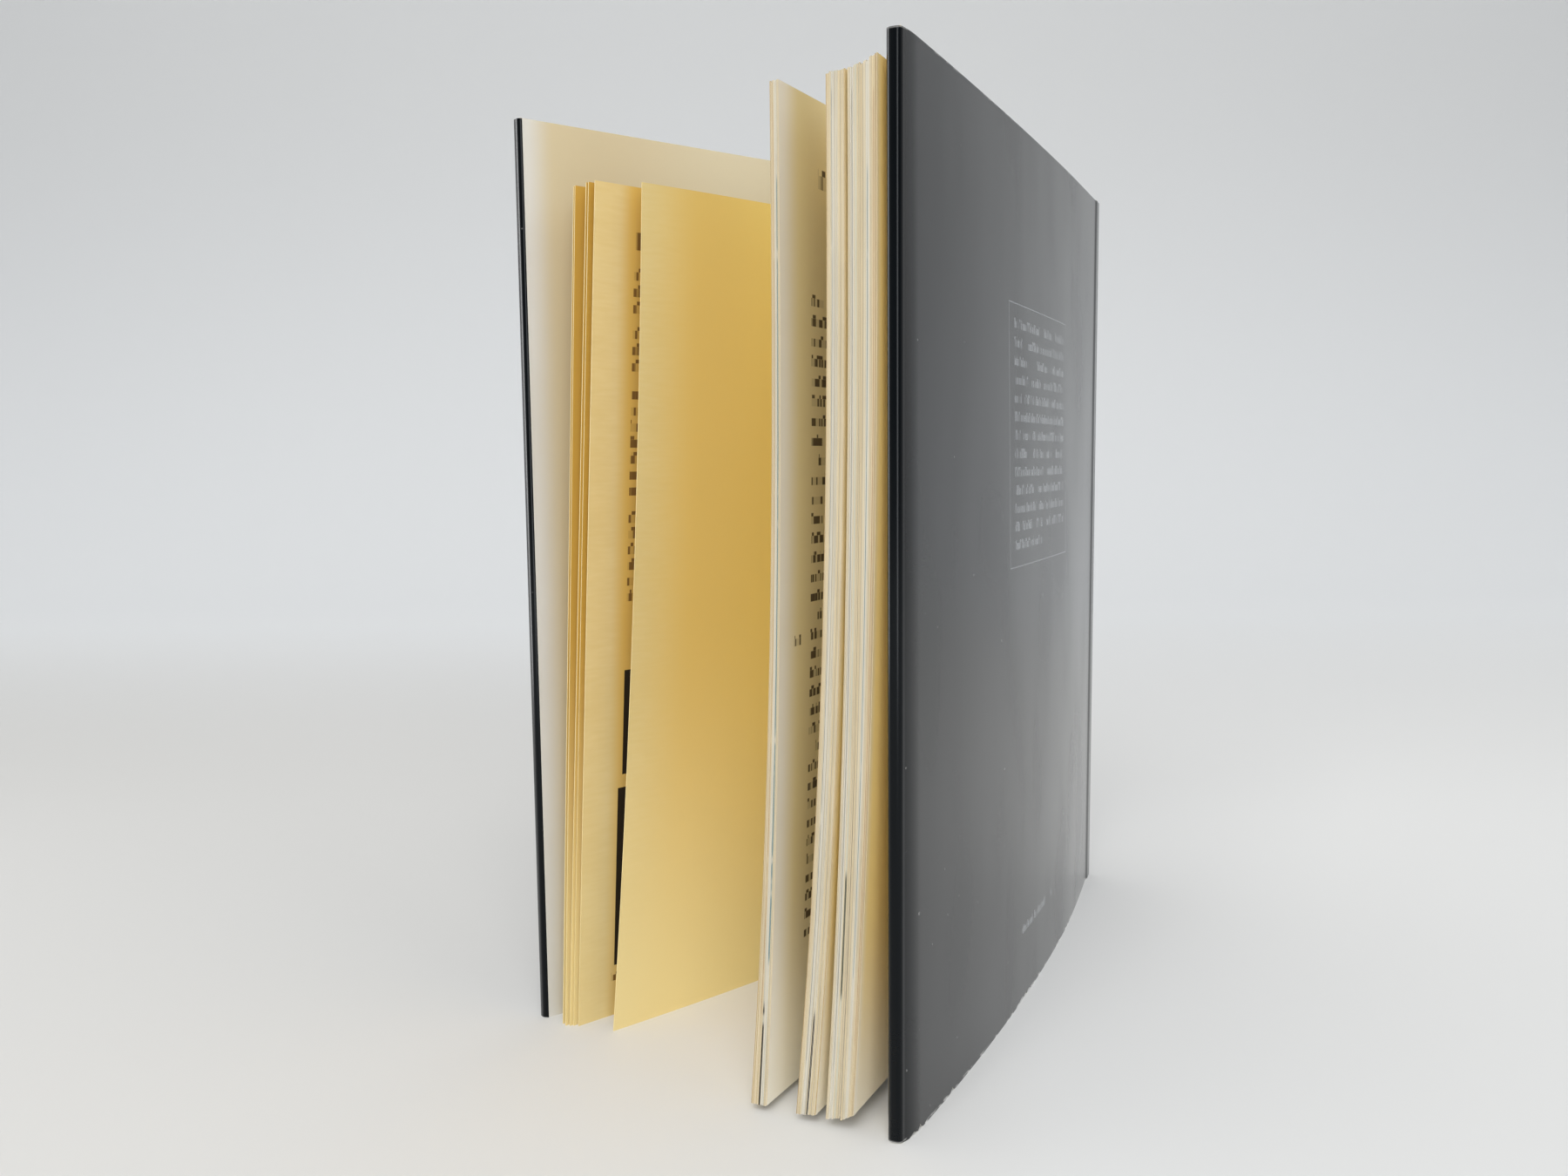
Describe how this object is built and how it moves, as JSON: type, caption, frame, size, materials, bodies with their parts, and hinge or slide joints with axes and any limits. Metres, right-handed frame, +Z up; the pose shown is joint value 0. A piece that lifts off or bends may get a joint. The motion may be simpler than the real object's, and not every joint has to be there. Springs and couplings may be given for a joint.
{
  "type": "book",
  "caption": "Hardcover book in a glossy black paper jacket, standing open on its tail, with fanned leaves and a loose yellow booklet tucked behind the front cover.",
  "frame": {"origin": "middle of the spine strip's foot, on the surface that the book stands on", "axes": "+Z up along the spine, +Y out of the spine away from the leaves, +X towards the back cover"},
  "size_m": [0.1126, 0.1921, 0.2275],
  "materials": {
    "covering": "matte",
    "jacket": "gloss",
    "leaves": "satin",
    "endpaper": "matte",
    "booklet": "matte",
    "lining": "matte",
    "band": "satin"
  },
  "bodies": {
    "book_block": {"spine_strip": "covering", "spine_lining": "lining", "head_band": "band", "tail_band": "band", "text_block": "leaves", "spine_jacket": "jacket"},
    "front_cover": {"front_board": "covering", "front_pastedown": "endpaper", "front_jacket": "jacket", "booklet": "booklet"},
    "back_cover": {"back_board": "covering", "back_pastedown": "endpaper", "back_jacket": "jacket"}
  },
  "joints": [
    {"name": "front_joint", "type": "hinge", "parent": "book_block", "child": "front_cover", "pos_m": [-0.01075, -0.004, 0.1], "axis": [0, 0, -1], "range_deg": [-11, 107]},
    {"name": "back_joint", "type": "hinge", "parent": "book_block", "child": "back_cover", "pos_m": [0.01075, -0.004, 0.1], "axis": [0, 0, 1], "range_deg": [0, 135]}
  ]
}
